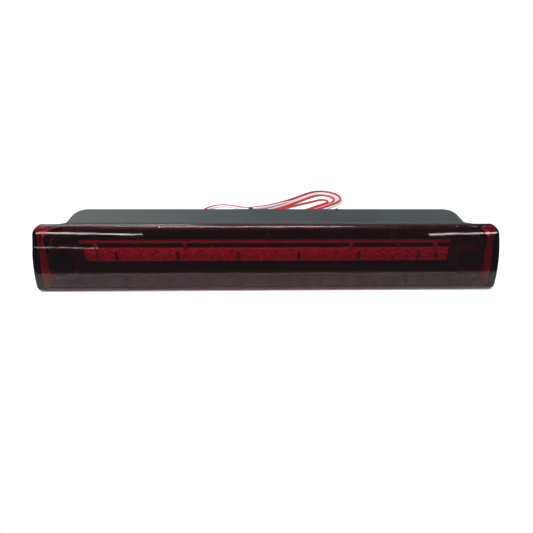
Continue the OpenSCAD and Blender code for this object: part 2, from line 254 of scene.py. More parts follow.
def lathe_y(mesh, x, z, profile, count=32):
    """A solid turned round an axis along Y. profile is a list of (radius, y)."""
    loft(mesh, [circle_y(x, z, r, y, count) for r, y in profile])


def steps_from(y, steps):
    """A profile for lathe_y from steps of (radius, depth behind y) in millimetres."""
    return [(r * MM, y + depth * MM) for r, depth in steps]


# ---- the two leads, in millimetres up to curve_piece ----

LEAD_D = 2.2 * MM
# Height of a lead's axis where it lies on the table
TABLE_Z = 1.15
# The pair's route from the outlet: the middle between the leads, and half the distance between them
PAIR_ROUTE = [
    (-45, 30, 11, 1.15), (-45, 37, 10.2, 1.15), (-45.5, 45, 6.8, 1.15),
    (-47, 53, 3, 1.15), (-49.5, 62, 1.2, 1.15), (-55, 81, TABLE_Z, 1.2), (-59.8, 100, TABLE_Z, 1.4),
    (-58, 112, TABLE_Z, 1.5), (-51, 120.2, TABLE_Z, 1.5), (-41, 123.3, TABLE_Z, 1.5),
    (-30.5, 120.8, TABLE_Z, 1.5), (-21, 116.4, 1.3, 1.5), (-14.5, 113.6, 2.3, 1.5),
    (-7.5, 112.8, 3.4, 1.5), (1, 115, 3.45, 1.5), (12.4, 121.5, 3.3, 1.5),
]
# The hank: its middle, its turn about the upright, and half the length of its straight legs
HANK_MID = Vector((30, 115, 0))
HANK_TURN = math.radians(38.5)
HANK_HALF = 41.5
# Points along and across the hank, on the table: the red lead's inner turn, and the two ends
RED_INSIDE = [
    (-33, 9.5), (-24, 8.7), (-8, 7.1), (7.8, 5.2), (25, 2.7), (33, 1.6), (38, 0.7), (41.6, -1.6),
    (42.9, -5), (41.2, -8), (37.6, -9.4), (28, -9.4),
]
RED_LAST_SPAN = (20, -2)
RED_TAIL = [(-6, -9.4), (-14, -8.6), (-21, -6.2), (-28, -2.6)]
WHITE_LAST_END = 10
WHITE_TAIL = [(6, -20.2), (-6, -21.6), (-16, -24), (-26, -27.5)]

# The bare tips: their length, how far they start inside the lead, and seven strands with a slight twist
TIP_L = 6
TIP_ROOT = 1
TIP_STEPS = 12
STRAND_COUNT = 7
STRAND_R = 0.17
STRAND_RING_R = 0.33
STRAND_TURNS = 0.9

# Ties: place along and across the hank, outer width, strap height, and height and side of the head
TIE_SPOTS = [(-39, 15, 14.2, 3.1, 2.8, 1), (-8, -15.6, 16.4, 5.1, 0.7, -1)]
STRAP_T = 0.8
STRAP_HALF_W = 1.25
STRAP_CORNER = 1.3
# Half sizes of a tie's head and of the strap's cut end that stands out of it
TIE_HEAD = (1.9, 1.8)
TIE_TAIL = (0.9, 0.45)
TIE_HEAD_SINK = 0.6
TIE_TAIL_RISE = 1.04

# Lanes of the strands: distance from the hank's axis, and height. Both leads come in on top of the others.
RED_START, RED_FIRST, RED_CROSSING = (18.9, 3.4), (18.8, 3.05), (18.8, 3.4)
RED_SECOND, RED_THIRD, RED_LAST = (12.0, TABLE_Z), (9.7, TABLE_Z), (9.4, TABLE_Z)
WHITE_START, WHITE_FIRST, WHITE_CROSSING = (16.0, 3.3), (17.5, TABLE_Z), (16.3, 3.4)
WHITE_SECOND, WHITE_THIRD = (15.0, TABLE_Z), (20.1, TABLE_Z)
# Where a lead settles into its lane on the far leg, and where it climbs again on the near leg
SETTLE = (-6, 16)
CLIMB = (22, -18)
# When a lead changes lane in the left bend: shares of the bend where its distance and its height change
RED_SHIFTS = [((0.4, 0.8), (0.75, 1.0)), ((0.1, 0.4), (0.1, 0.4))]
WHITE_SHIFTS = [((0.3, 0.5), (0.3, 0.52)), ((0.0, 0.3), (0.0, 0.3))]
# How much the far leg is drawn in at its middle, and where along it both leads join the hank
WAIST = 2
JOIN = -6
LEG_STEP = 4
BEND_STEPS = 26


def catmull(points, steps):
    """A smooth line through points of any dimension."""
    out = []
    for i in range(len(points) - 1):
        a, b, c, d = (points[max(i - 1, 0)], points[i], points[i + 1], points[min(i + 2, len(points) - 1)])
        for k in range(steps):
            t = k / steps
            out.append(tuple(0.5 * (2 * q + (r - p) * t + (2 * p - 5 * q + 4 * r - s) * t * t
                                    + (3 * q - p - 3 * r + s) * t ** 3) for p, q, r, s in zip(a, b, c, d)))
    return out + [tuple(points[-1])]


def lead_in(side):
    """One lead from the outlet to the hank. side is -1 for the one on the left of the route."""
    route = catmull(PAIR_ROUTE, 5)
    out = []
    for i, (x, y, z, half) in enumerate(route):
        ahead = Vector(route[min(i + 1, len(route) - 1)][:3]) - Vector(route[max(i - 1, 0)][:3])
        beside = ahead.cross(Vector((0, 0, 1))).normalized()
        out.append(Vector((x, y, z)) + beside * side * half)
    return out


def on_hank(along, across, z):
    """A point given along and across the hank, in the lamp's frame."""
    turn = Matrix.Rotation(HANK_TURN, 3, "Z")
    return HANK_MID + turn @ Vector((along, across, z))


def smooth_step(t, low, high):
    """0 up to low, 1 from high on, and an even change between them."""
    t = min(max((t - low) / (high - low), 0), 1)
    return t * t * (3 - 2 * t)


def blend(first, last, share):
    return tuple(p + (q - p) * share for p, q in zip(first, last))


def far_leg(lane, start=-HANK_HALF, settled=None):
    """Left to right on the side away from the lamp, drawn in a little at the middle. A lead that comes in
    high moves from its lane to the settled one."""
    steps = math.ceil((HANK_HALF - start) / LEG_STEP)
    out = []
    for i in range(steps):
        at = start + (HANK_HALF - start) * i / steps
        r, z = blend(lane, settled or lane, smooth_step(at, *SETTLE))
        out.append(on_hank(at, r - WAIST * math.cos(math.pi * at / (2 * HANK_HALF)) ** 2, z))
    return out


def right_bend(lane):
    """Half a turn round the hank's right end."""
    r, z = lane
    angles = [math.pi * (0.5 - i / BEND_STEPS) for i in range(BEND_STEPS)]
    return [on_hank(HANK_HALF + r * math.cos(a), r * math.sin(a), z) for a in angles]


def near_leg(lane, start=HANK_HALF, end=-HANK_HALF, climbed=None):
    """Right to left on the side of the lamp. A lead that has to cross others climbs to another lane."""
    steps = math.ceil((start - end) / LEG_STEP)
    out = []
    for i in range(steps):
        at = start + (end - start) * i / steps
        r, z = blend(climbed or lane, lane, smooth_step(at, CLIMB[1], CLIMB[0]))
        out.append(on_hank(at, -r, z))
    return out


def left_bend(lane, following, shifts):
    """Half a turn round the hank's left end, from one lane to the next."""
    out = []
    for i in range(BEND_STEPS):
        t = i / BEND_STEPS
        r = lane[0] + (following[0] - lane[0]) * smooth_step(t, *shifts[0])
        z = lane[1] + (following[1] - lane[1]) * smooth_step(t, *shifts[1])
        a = -math.pi * (0.5 + t)
        out.append(on_hank(-HANK_HALF + r * math.cos(a), r * math.sin(a), z))
    return out


def on_table(points):
    """A smooth line on the table, through points along and across the hank."""
    return [on_hank(*p, TABLE_Z) for p in catmull(points, 4)]


def red_line():
    """Two turns, a smaller inner one, and the end inside the hank."""
    first = (far_leg(RED_START, JOIN, RED_FIRST) + right_bend(RED_FIRST)
             + near_leg(RED_FIRST, climbed=RED_CROSSING)
             + left_bend(RED_CROSSING, RED_SECOND, RED_SHIFTS[0]))
    second = (far_leg(RED_SECOND) + right_bend(RED_SECOND) + near_leg(RED_SECOND)
              + left_bend(RED_SECOND, RED_THIRD, RED_SHIFTS[1]))
    inner = on_table([(-HANK_HALF, RED_THIRD[0]), *RED_INSIDE]) + near_leg(RED_LAST, *RED_LAST_SPAN)
    return lead_in(-1) + first + second + inner + on_table(RED_TAIL)


def white_line():
    """Three turns, of which the last is the outermost, and the end beside the hank."""
    first = (far_leg(WHITE_START, JOIN, WHITE_FIRST) + right_bend(WHITE_FIRST)
             + near_leg(WHITE_FIRST, climbed=WHITE_CROSSING)
             + left_bend(WHITE_CROSSING, WHITE_SECOND, WHITE_SHIFTS[0]))
    second = (far_leg(WHITE_SECOND) + right_bend(WHITE_SECOND) + near_leg(WHITE_SECOND)
              + left_bend(WHITE_SECOND, WHITE_THIRD, WHITE_SHIFTS[1]))
    third = (far_leg(WHITE_THIRD) + right_bend(WHITE_THIRD)
             + near_leg(WHITE_THIRD, HANK_HALF, WHITE_LAST_END))
    return lead_in(1) + first + second + third + on_table(WHITE_TAIL)


def curve_piece(name, lines, radius, material, replaced=(), resolution=4):
    """Round strands along lines in millimetres, as one curve object in metres."""
    data = bpy.data.curves.new(name, "CURVE")
    data.dimensions = "3D"
    data.bevel_depth = radius
    data.bevel_resolution = resolution
    data.use_fill_caps = True
    for line in lines:
        spline = data.splines.new("POLY")
        spline.points.add(len(line) - 1)
        for point, place in zip(spline.points, line):
            point.co = (*(Vector(place) * MM), 1)
    piece = bpy.data.objects.new(name, data)
    bpy.context.scene.collection.objects.link(piece)
    return finish_piece(piece, material, replaced)


def tip_strands(line):
    """Fine strands, one in the middle and the others round it, beyond the end of a lead."""
    way = (line[-1] - line[-2]).normalized()
    side = way.cross(Vector((0, 0, 1))).normalized()
    up = side.cross(way)
    strands = []
    for k in range(STRAND_COUNT):
        radius = STRAND_RING_R if k else 0
        strand = []
        for i in range(TIP_STEPS + 1):
            a = TAU * (k / (STRAND_COUNT - 1) + STRAND_TURNS * i / TIP_STEPS)
            out = side * math.cos(a) * radius + up * math.sin(a) * radius
            strand.append(line[-1] + way * (TIP_L * i / TIP_STEPS - TIP_ROOT) + out)
        strands.append(strand)
    return strands


def soft_block(mesh, along, across, half, low, high):
    """An upright block with round corners, in the middle of a place on the hank."""
    rings = []
    for share, lift in ((0.85, 0.0), (1.0, 0.08), (1.0, 0.88), (0.84, 1.0)):
        ring = []
        for k in range(24):
            a = TAU * (k + 0.5) / 24
            reach = 1 / (abs(math.cos(a)) ** 6 + abs(math.sin(a)) ** 6) ** (1 / 6)
            ring.append(on_hank(along + half[0] * share * reach * math.cos(a),
                                across + half[1] * share * reach * math.sin(a),
                                low + (high - low) * lift) * MM)
        rings.append(ring)
    loft(mesh, rings)


def make_tie(mesh, along, across, span, height, head_h, side):
    """A flat nylon tie: a strap round the strands, and its square head with the strap's cut end."""
    rings = []
    reach_x, reach_z = span / 2 - STRAP_CORNER, height / 2 - STRAP_CORNER
    outline = [(across + sx * reach_x, height / 2 + sz * reach_z, a)
               for sx, sz, a in ((1, 1, 0), (-1, 1, 90), (-1, -1, 180), (1, -1, 270))]
    # The strap's section: shares of its thickness, from the outside in, and of its half width
    section = ((0, -0.8), (0, 0.8), (-0.2, 1), (-0.8, 1), (-1, 0.8), (-1, -0.8), (-0.8, -1), (-0.2, -1))
    for cx, cz, start in outline:
        for i in range(6):
            a = math.radians(start + 90 * i / 5)
            ring = []
            for out, over in section:
                r = STRAP_CORNER + out * STRAP_T
                ring.append(on_hank(along + over * STRAP_HALF_W, cx + r * math.cos(a),
                                    cz + r * math.sin(a)) * MM)
            rings.append(ring)
    loft(mesh, rings, closed=True)
    head_at = across + side * (span / 2 - TIE_HEAD[0])
    soft_block(mesh, along, head_at, TIE_HEAD, height - TIE_HEAD_SINK, height + head_h)
    soft_block(mesh, along, head_at, TIE_TAIL, height, height + head_h * TIE_TAIL_RISE)


red_points = red_line()
white_points = white_line()
red_lead = curve_piece("red_lead", [red_points], LEAD_D / 2, PVC_RED,
                       ("red_wire", "wire_hank"))
white_lead = curve_piece("white_lead", [white_points], LEAD_D / 2, PVC_WHITE,
                         ("white_wire",))
lead_tips = curve_piece("lead_tips", tip_strands(red_points) + tip_strands(white_points),
                        STRAND_R * MM, COPPER, ("wire_tips",), 2)
ties = bmesh.new()
for spot in TIE_SPOTS:
    make_tie(ties, *spot)
lead_ties = mesh_piece("lead_ties", ties, NYLON, ("hank_ties",))


# ---- floor and light ----

# The floor ends a little way in front of the lamp, where the room mirrored in the lens turns dark
FLOOR_FRONT = -0.13
FLOOR_BACK = 0.6
FLOOR_HALF = 0.8
# The room that the lamp mirrors: its colour and strength
ROOM = (0.97, 0.84, 1.0)
ROOM_STRENGTH = 0.29
LIGHT_DISTANCE = 2.0
# Suns: name, azimuth, elevation, strength, and how wide it looks, all angles in degrees
SUNS = [("key", -10, 80, 2.6, 30), ("overhead", -60, 84, 0.5, 40)]
# Softboxes: name, azimuth, elevation, width, height, brightness and tilt, as seen from the lamp
SOFTBOXES = [
    ("top_strip", -4, 74, 74, 5, 12, 0),
    ("strip_left", -30.3, 43.3, 13, 2.2, 17, 10),
    ("strip_right", 37.6, 40.1, 9, 2.2, 17, -10),
    ("strip_low_left", -27.5, 25.3, 8, 1.1, 8, 0),
    ("strip_end", -64, 16, 26, 22, 14, 0),
    ("back_left", -152, 26, 36, 22, 2.0, 0),
]


def make_floor():
    mesh = bmesh.new()
    corners = [(-FLOOR_HALF, FLOOR_FRONT), (FLOOR_HALF, FLOOR_FRONT), (FLOOR_HALF, FLOOR_BACK),
               (-FLOOR_HALF, FLOOR_BACK)]
    mesh.faces.new([mesh.verts.new((x, y, 0)) for x, y in corners])
    data = bpy.data.meshes.new("floor")
    mesh.to_mesh(data)
    mesh.free()
    floor = bpy.data.objects.new("floor", data)
    bpy.context.scene.collection.objects.link(floor)
    pale = surface("floor_pale", grey(0.86), grey(0.88), 3, (0.9, 0.95))
    floor.data.materials.append(pale)


def make_world():
    """Pale where the camera looks past the floor, and a dim room for everything else."""
    world = bpy.data.worlds.new("studio")
    bpy.context.scene.world = world
    world.use_nodes = True
    tree = world.node_tree
    room = tree.nodes["Background"]
    set_inputs(room, {"Color": ROOM, "Strength": ROOM_STRENGTH})
    pale = tree.nodes.new("ShaderNodeBackground")
    set_inputs(pale, {"Color": (1.0, 1.0, 1.0), "Strength": 1.0})
    mix = tree.nodes.new("ShaderNodeMixShader")
    tree.links.new(tree.nodes.new("ShaderNodeLightPath").outputs["Is Camera Ray"], mix.inputs["Fac"])
    tree.links.new(room.outputs["Background"], mix.inputs[1])
    tree.links.new(pale.outputs["Background"], mix.inputs[2])
    tree.links.new(mix.outputs["Shader"], tree.nodes["World Output"].inputs["Surface"])


def seen_at(azimuth, elevation):
    """Direction from the lamp, in degrees: azimuth from straight in front towards +X, and elevation."""
    a, e = math.radians(azimuth), math.radians(elevation)
    return Vector((math.sin(a) * math.cos(e), -math.cos(a) * math.cos(e), math.sin(e)))


def add_light(kind, name, way, energy, **settings):
    """A light that stands off in direction way and looks back at the lamp."""
    data = bpy.data.lights.new(name, kind)
    data.energy = energy
    for key, value in settings.items():
        setattr(data, key, value)
    light = bpy.data.objects.new(name, data)
    bpy.context.scene.collection.objects.link(light)
    light.location = way * LIGHT_DISTANCE
    light.rotation_mode = "QUATERNION"
    light.rotation_quaternion = (-way).to_track_quat("-Z", "Y")
    light.visible_camera = False
    return light


def add_softbox(name, azimuth, elevation, width, height, radiance, tilt):
    """A softbox that looks width by height degrees in size from the lamp. tilt turns it in its plane."""
    wide = 2 * LIGHT_DISTANCE * math.tan(math.radians(width / 2))
    tall = 2 * LIGHT_DISTANCE * math.tan(math.radians(height / 2))
    light = add_light("AREA", name, seen_at(azimuth, elevation), radiance * wide * tall * math.pi,
                      shape="RECTANGLE", size=wide, size_y=tall)
    turn = Matrix.Rotation(math.radians(tilt), 3, "Z").to_quaternion()
    light.rotation_quaternion = light.rotation_quaternion @ turn


def make_lights():
    for name, azimuth, elevation, strength, spread in SUNS:
        add_light("SUN", name, seen_at(azimuth, elevation), strength, angle=math.radians(spread))
    for softbox in SOFTBOXES:
        add_softbox(*softbox)


make_floor()
make_world()
make_lights()
bpy.context.scene.view_settings.view_transform = "Standard"


# ---- lens ----

lens_low, lens_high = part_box("lens")
LENS_W = lens_high.x - lens_low.x
LENS_H = lens_high.z
FACE_Y = lens_low.y
PANEL_Y = lens_high.y
LENS_WALL = 2.5 * MM
END_WALL = 4.8 * MM
CORNER_R = 5 * MM
FOOT_R = 4 * MM
BROW_D = 4.5 * MM
# From the foot's round the face is an arc that leans back until BROW_D in front of the panel
FACE_LEAN = PANEL_Y - FACE_Y - BROW_D
FACE_R = (FACE_LEAN ** 2 + (LENS_H - FOOT_R) ** 2) / (2 * FACE_LEAN)
TOP_R = 0.7 * MM
END_R = 1.3 * MM
INNER_R = 0.3 * MM
RIM_R = 0.45 * MM
BACK_WALL = 2.5 * MM
CORNER_STEPS = 9
FACE_ROWS = 22
FACE_COLUMNS = 44
# Unevenness of the outer face: depth, features per metre across and up, place in the noise, and how
# much stronger it is over the left quarter
RIPPLE = 0.03 * MM
RIPPLE_X = 42
RIPPLE_Z = 34
RIPPLE_SLICE = 3.7
LEFT_RIPPLE = 2.4

# The sealant fills the gap between the tub and the lens's opening, so the tub's size comes from it
seal_low, seal_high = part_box("lens_sealant")
GLUE_GAP = 0.5 * MM
# The lens's opening is this much tighter than the sealant's box, so that no gap shows
OPENING_IN = 0.1 * MM
TUB_W = seal_high.x - seal_low.x - 2 * GLUE_GAP
TUB_H = seal_high.z - seal_low.z - 2 * GLUE_GAP
MID_Z = (seal_high.z + seal_low.z) / 2
MOUTH_Y = seal_low.y
# A softened edge has a third point between its faces, at this share of the softening
BITE = 0.3


def face_depth(z, inset):
    """Y of the lens face at a height, inset by the wall for its inner side."""
    if z < FOOT_R:
        r = FOOT_R - inset
        return FACE_Y + FOOT_R - math.sqrt(max(r * r - (FOOT_R - z) ** 2, 0))
    r = FACE_R - inset
    return FACE_Y + FACE_R - math.sqrt(r * r - (z - FOOT_R) ** 2)


def lens_rows(inset):
    """Heights from the foot to the top, closer where the corners turn."""
    low, high = inset, LENS_H - inset
    corner = CORNER_R - inset / 2
    turns = [math.pi / 2 * i / CORNER_STEPS for i in range(CORNER_STEPS + 1)]
    bottom = [low + corner * (1 - math.cos(a)) for a in turns[:-1]]
    middle = [low + corner + (high - low - 2 * corner) * i / FACE_ROWS for i in range(FACE_ROWS)]
    top = [high - corner + corner * math.sin(a) for a in turns]
    return bottom + middle + top, corner


def end_spread(half):
    """Places across a row from one end to the other, closer at the ends, as distances from the middle."""
    close = [0, 0.12, 0.35, 0.7, 1.1, 1.6, 2.2, 3.0, 4.5, 7.5, 12]
    left = [-half + d * MM for d in close]
    span = half - close[-1] * MM
    middle = [-span + 2 * span * i / FACE_COLUMNS for i in range(1, FACE_COLUMNS)]
    return left + middle + [-x for x in reversed(left)]


def edge_round(x, z, half, low, high, corner, top_r, end_r):
    """How far the face falls back near the outline, so that its top and ends have round edges."""
    over_x = abs(x) - (half - corner)
    upper = z > (low + high) / 2
    over_z = z - (high - corner) if upper else (low + corner) - z
    if over_x > 0 and over_z > 0:
        gap = corner - math.hypot(over_x, over_z)
        lean = over_x / math.hypot(over_x, over_z)
    else:
        gap = corner - max(over_x, over_z)
        lean = 1.0 if over_x > over_z else 0.0
    radius = lean * end_r + (1 - lean) * (top_r if upper else 0)
    if radius <= 0 or gap >= radius:
        return 0
    return radius * (1 - math.sqrt(max(1 - (1 - max(gap, 0) / radius) ** 2, 0)))


def face_wave(x, z):
    strength = LEFT_RIPPLE if x < -LENS_W / 4 else 1
    return noise.noise((x * RIPPLE_X, z * RIPPLE_Z, RIPPLE_SLICE)) * RIPPLE * strength


def lens_sheet(mesh, inset):
    """One side of the lens wall's front: a grid of vertices over the rounded outline. The outer side
    has an inset of 0. Returns the vertices along its edge."""
    rows, corner = lens_rows(inset)
    low, high = rows[0], rows[-1]
    half = LENS_W / 2 - (END_WALL if inset else 0)
    top_r, end_r = max(TOP_R - inset, INNER_R), max(END_R - inset, INNER_R)
    spread = end_spread(half)
    grid = []
    for z in rows:
        reach = half
        for edge, way in ((low + corner, -1), (high - corner, 1)):
            over = (z - edge) * way
            if over > 0:
                reach = half - corner + math.sqrt(max(corner * corner - over * over, 0))
        row = []
        for x in spread:
            at = x * reach / half
            y = face_depth(z, inset) + edge_round(at, z, half, low, high, corner, top_r, end_r)
            wave = 0 if inset else face_wave(at, z)
            row.append(mesh.verts.new((at, min(y + wave, PANEL_Y - 2 * RIM_R), z)))
        grid.append(row)
    for one, two in zip(grid, grid[1:]):
        for i in range(len(one) - 1):
            mesh.faces.new((one[i], one[i + 1], two[i + 1], two[i]))
    right, left = [row[-1] for row in grid[1:]], [row[0] for row in grid[-2:0:-1]]
    return grid[0] + right + grid[-1][-2::-1] + left


def pulled_to(mesh, loop, y, inset):
    """A copy of a loop of vertices at another depth, drawn in from its outline by inset."""
    middle = LENS_H / 2
    out = []
    for v in loop:
        x = v.co.x - math.copysign(inset, v.co.x)
        z = v.co.z - math.copysign(inset, v.co.z - middle)
        out.append(mesh.verts.new((x, y, z)))
    return out


def stadium(half_w, radius, y, z, arc_steps=20, straight_steps=24):
    """A ring of points round a stadium at depth y, with its middle at height z."""
    centre = half_w - radius
    points = []
    for side in (1, -1):
        for i in range(arc_steps + 1):
            a = math.radians(-90 + 180 * i / arc_steps)
            points.append((side * (centre + radius * math.cos(a)), z + side * radius * math.sin(a)))
        for i in range(1, straight_steps):
            points.append((side * centre * (1 - 2 * i / straight_steps), z + side * radius))
    return [(x, y, up) for x, up in points]


def round_the_tub(mesh, loop, radius, y):
    """For every vertex of a loop, one on the stadium of that radius round the tub's axis."""
    centre = (TUB_W - TUB_H) / 2
    out = []
    for v in loop:
        reach = max(abs(v.co.x) - centre, 0)
        rise = v.co.z - MID_Z
        scale = radius / max(math.hypot(reach, rise), 1e-9)
        x = v.co.x if reach == 0 else math.copysign(centre + reach * scale, v.co.x)
        z = math.copysign(radius, rise) if reach == 0 else rise * scale
        out.append(mesh.verts.new((x, y, MID_Z + z)))
    return out


def make_lens():
    mesh = bmesh.new()
    outer = lens_sheet(mesh, 0)
    inner = lens_sheet(mesh, LENS_WALL)
    opening = TUB_H / 2 + GLUE_GAP - OPENING_IN
    soft = 0.2 * MM
    rings = [outer, pulled_to(mesh, outer, PANEL_Y - RIM_R, 0),
             pulled_to(mesh, outer, PANEL_Y - BITE * RIM_R, BITE * RIM_R),
             pulled_to(mesh, outer, PANEL_Y, RIM_R),
             round_the_tub(mesh, outer, opening + soft, PANEL_Y),
             round_the_tub(mesh, outer, opening, PANEL_Y - soft),
             round_the_tub(mesh, outer, opening, PANEL_Y - BACK_WALL),
             pulled_to(mesh, inner, PANEL_Y - BACK_WALL, 0), inner]
    skin(mesh, rings)
    mesh_piece("lens_shell", mesh, LENS_RED, ("lens",), math.radians(50))


make_lens()


# ---- housing ----

# Pads round the studs stand PAD_T behind the tub's back
PAD_T = 0.6 * MM
BACK_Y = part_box("housing")[1].y - PAD_T
TUB_WALL = 2.2 * MM
FLOOR_Y = BACK_Y - TUB_WALL
stud_low, stud_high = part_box("mounting_studs")
STUD_Z = (stud_low.z + stud_high.z) / 2
STUD_X = 145.5 * MM
BACK_R = 0.8 * MM
TOWER_R = 11.3 * MM
TOWER_WALL = 2 * MM
TOWER_FLOOR_Y = BACK_Y - 6 * MM
TOWER_LEAN = math.tan(math.radians(14))
TOWER_SET = 3 * MM
# A moulded stub on the tub's rear edge
STUB_X = 54 * MM
OUTLET_X = -45 * MM
OUTLET_Z = 11 * MM
BREATHER_X = 45 * MM


def tub_ring(inset, y):
    """A ring round the tub, inset from its outside."""
    return stadium(TUB_W / 2 - inset, TUB_H / 2 - inset, y, MID_Z)


def tower_front(setback):
    """Front plane of the bolt towers, leaning with the lens face."""
    return lambda z: FACE_Y + TOWER_SET + z * TOWER_LEAN + setback


def make_tower(mesh, x):
    """A round tower from the tub's floor to the lens, with a pocket for the stud's head."""
    soft = 0.4 * MM
    bite = BITE * soft
    inner = TOWER_R - TOWER_WALL
    rings = [(TOWER_R, FLOOR_Y + 1 * MM), (TOWER_R, tower_front(soft)), (TOWER_R - bite, tower_front(bite)),
             (TOWER_R - soft, tower_front(0)), (inner + soft, tower_front(0)),
             (inner + bite, tower_front(bite)), (inner, tower_front(soft)),
             (inner, TOWER_FLOOR_Y - 1 * MM), (inner - 1 * MM, TOWER_FLOOR_Y)]
    loft(mesh, [circle_y(x, STUD_Z, r, y, 56) for r, y in rings])


def make_housing():
    """The tub from its floor over the mouth to its back, the two towers, their pads and the stub."""
    mesh = bmesh.new()
    soft, inside = 0.5 * MM, 1.2 * MM
    bite = BITE * soft
    profile = [(TUB_WALL + inside, FLOOR_Y), (TUB_WALL, FLOOR_Y - inside), (TUB_WALL, MOUTH_Y + soft),
               (TUB_WALL - bite, MOUTH_Y + bite), (TUB_WALL - soft, MOUTH_Y), (soft, MOUTH_Y),
               (bite, MOUTH_Y + bite), (0, MOUTH_Y + soft)]
    profile += [(0, MOUTH_Y + (BACK_Y - BACK_R - MOUTH_Y) * i / 8) for i in range(1, 8)]
    for degrees in range(0, 91, 10):
        a = math.radians(degrees)
        profile.append((BACK_R * (1 - math.cos(a)), BACK_Y - BACK_R * (1 - math.sin(a))))
    loft(mesh, [tub_ring(*p) for p in profile])
    pad = steps_from(BACK_Y + PAD_T, [(8, -1.1), (8, -0.25), (7.75, 0), (3, 0)])
    for x in (-STUD_X, STUD_X):
        make_tower(mesh, x)
        lathe_y(mesh, x, STUD_Z, pad, 48)
    stub = steps_from(BACK_Y, [(1.8, -3.6), (1.8, -0.5), (1.4, -0.1), (0.6, 0)])
    lathe_y(mesh, STUB_X, MID_Z + TUB_H / 2 - 1.1 * MM, stub, 24)
    mesh_piece("tub_shell", mesh, TUB_BLACK, ("housing",))


make_housing()


# ---- shapes for the small pieces ----

def slab(mesh, low, high, soft):
    """A box between two corners with all its edges rounded off by soft."""
    bite = BITE * soft
    (lx, ly, lz), (hx, hy, hz) = low, high

    def outline(inset, z):
        x0, y0, x1, y1 = lx + inset, ly + inset, hx - inset, hy - inset
        return [(x0 + soft, y0, z), (x1 - soft, y0, z), (x1 - bite, y0 + bite, z), (x1, y0 + soft, z),
                (x1, y1 - soft, z), (x1 - bite, y1 - bite, z), (x1 - soft, y1, z), (x0 + soft, y1, z),
                (x0 + bite, y1 - bite, z), (x0, y1 - soft, z), (x0, y0 + soft, z),
                (x0 + bite, y0 + bite, z)]

    levels = ((soft, lz), (bite, lz + bite), (0, lz + soft), (0, hz - soft), (bite, hz - bite), (soft, hz))
    loft(mesh, [outline(*level) for level in levels])


def shaped_ring(x, z, y, count, radius):
    """A ring round an axis along Y whose radius is a function of the angle."""
    angles = [TAU * k / count for k in range(count)]
    return [(x + radius(a) * math.cos(a), y, z + radius(a) * math.sin(a)) for a in angles]


def hexagon(across_flats, corner):
    """Radius of a hexagon with its corners turned down to a circle."""
    def radius(a):
        turn = (a + math.pi / 6) % (math.pi / 3) - math.pi / 6
        return min(across_flats / 2 / math.cos(turn), corner)
    return radius


def cross_shape(length, width):
    """Radius of a plus-shaped recess with arms of that half length and half width."""
    def radius(a):
        c, s = max(abs(math.cos(a)), 1e-6), max(abs(math.sin(a)), 1e-6)
        return max(min(length / c, width / s), min(length / s, width / c))
    return radius


def rod(mesh, points, radius, sides=8):
    """A round bar swept through points, with flat ends."""
    rings = []
    for i, p in enumerate(points):
        before, after = points[max(i - 1, 0)], points[min(i + 1, len(points) - 1)]
        way = (Vector(after) - Vector(before)).normalized()
        side = way.orthogonal().normalized() if i == 0 else (side - way * side.dot(way)).normalized()
        up = way.cross(side)
        turns = [TAU * k / sides for k in range(sides)]
        rings.append([Vector(p) + (side * math.cos(a) + up * math.sin(a)) * radius for a in turns])
    loft(mesh, rings)


def cut_corners(inner, outer, front, back, cut):
    """The section of a ring with its four edges cut off, as a loop of (radius, y)."""
    return [(inner, front + cut), (inner + cut, front), (outer - cut, front), (outer, front + cut),
            (outer, back - cut), (outer - cut, back), (inner + cut, back), (inner, back - cut)]


# ---- seals ----

# The foam ring clears the tub by GASKET_GAP, and the sealant lies between two distances from the tub
GASKET_GAP = 0.45 * MM
GASKET_SOFT = 0.35 * MM
SEAL_INSIDE = 0.02 * MM
SEAL_OUTSIDE = 0.38 * MM
EDGE_CUT = 0.12 * MM


def make_foam_ring():
    mesh = bmesh.new()
    low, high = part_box("mounting_gasket")
    half_h = (high.z - low.z) / 2
    soft, bite = GASKET_SOFT, BITE * GASKET_SOFT
    front, back = PANEL_Y + 0.02 * MM, high.y
    front_edge = ((0, front + soft), (bite, front + bite), (soft, front))
    inside = ((soft, front), (0, front + soft), (0, back - soft), (soft, back))
    back_edge = ((soft, back), (bite, back - bite), (0, back - soft))
    rings = [stadium(high.x - inset, half_h - inset, y, MID_Z) for inset, y in front_edge]
    rings += [tub_ring(-(GASKET_GAP + out), y) for out, y in inside]
    rings += [stadium(high.x - inset, half_h - inset, y, MID_Z) for inset, y in back_edge]
    loft(mesh, rings, closed=True)
    mesh_piece("foam_ring", mesh, FOAM, ("mounting_gasket",))


def make_sealant():
    mesh = bmesh.new()
    section = cut_corners(SEAL_INSIDE, SEAL_OUTSIDE, MOUTH_Y, PANEL_Y, EDGE_CUT)
    loft(mesh, [tub_ring(-out, y) for out, y in section], closed=True)
    mesh_piece("sealant_bead", mesh, SEALANT, ("lens_sealant",))


# ---- light board ----

carrier_low, carrier_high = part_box("board_carrier")
board_low, board_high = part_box("circuit_board")
led_low, led_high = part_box("leds")
BOARD_SOFT = 0.15 * MM
PLATE_T = 2 * MM
PLATE_DROP = 0.8 * MM
RAIL_D = 2.4 * MM
RAIL_H = 2 * MM
CLIP_X = (-125, -61, 60, 123)
CLIP_W = 1.6 * MM
HOOK_T = 1.2 * MM
LEG_X = (-100, 0, 100)
LEG_R = 3 * MM
LEG_WAIST = 2 * MM
WINDOW_X = (-56 * MM, -22 * MM)
WINDOW_H = 7.2 * MM
BOARD_Z = (board_low.z + board_high.z) / 2
LED_COUNT = 24
LED_R = 3.8 * MM
LED_FLANGE_R = 4.4 * MM
LED_FLANGE_T = 1.2 * MM
LED_PITCH = (led_high.x - led_low.x - 2 * LED_FLANGE_R) / (LED_COUNT - 1)
LED_GROUP = 4
RESISTOR_R = 0.9 * MM
